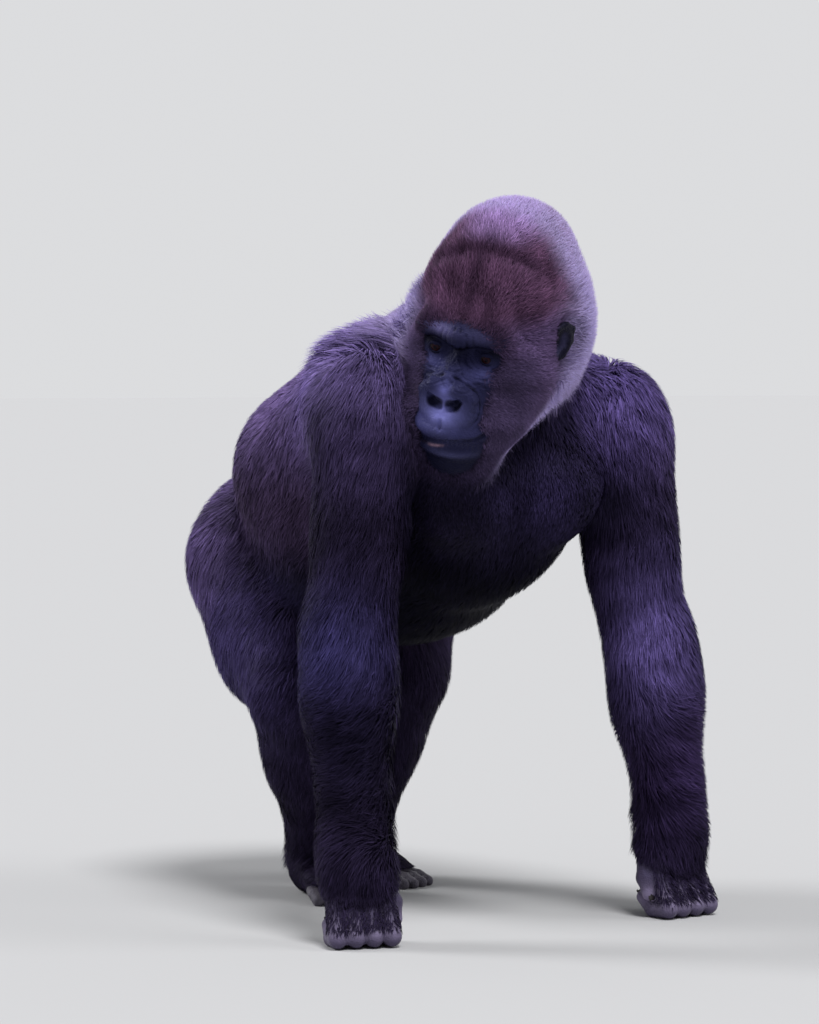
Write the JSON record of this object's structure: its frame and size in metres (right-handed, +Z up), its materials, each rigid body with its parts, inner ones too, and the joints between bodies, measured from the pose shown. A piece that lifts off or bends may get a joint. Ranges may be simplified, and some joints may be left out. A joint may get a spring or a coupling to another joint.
{
  "type": "gorilla model",
  "caption": "Life-size adult female gorilla walking on her knuckles, head turned to her right, as a still museum model that stands on its hands and feet.",
  "frame": {"origin": "middle of the bounding box, on the floor under the hands and feet", "axes": "+Z up, the animal walks towards -Y and its left side is +X"},
  "size_m": [0.6754, 0.8912, 1.0599],
  "materials": {
    "coat": "dense dull black-brown hair, browner on the crown and greyer on the back and nape",
    "skin": "bare black wrinkled skin with a soft sheen",
    "eye": "wet dark brown eye"
  },
  "bodies": {
    "root": {"head": "coat", "neck": "coat", "chest": "coat", "belly": "coat", "pelvis": "coat", "upper_arm_right": "coat", "forearm_right": "coat", "thigh_right": "coat", "lower_leg_right": "coat", "hand_right": "skin", "foot_right": "skin", "ear_right": "skin", "eye_right": "eye", "upper_arm_left": "coat", "forearm_left": "coat", "thigh_left": "coat", "lower_leg_left": "coat", "hand_left": "skin", "foot_left": "skin", "ear_left": "skin", "eye_left": "eye"}
  },
  "joints": []
}
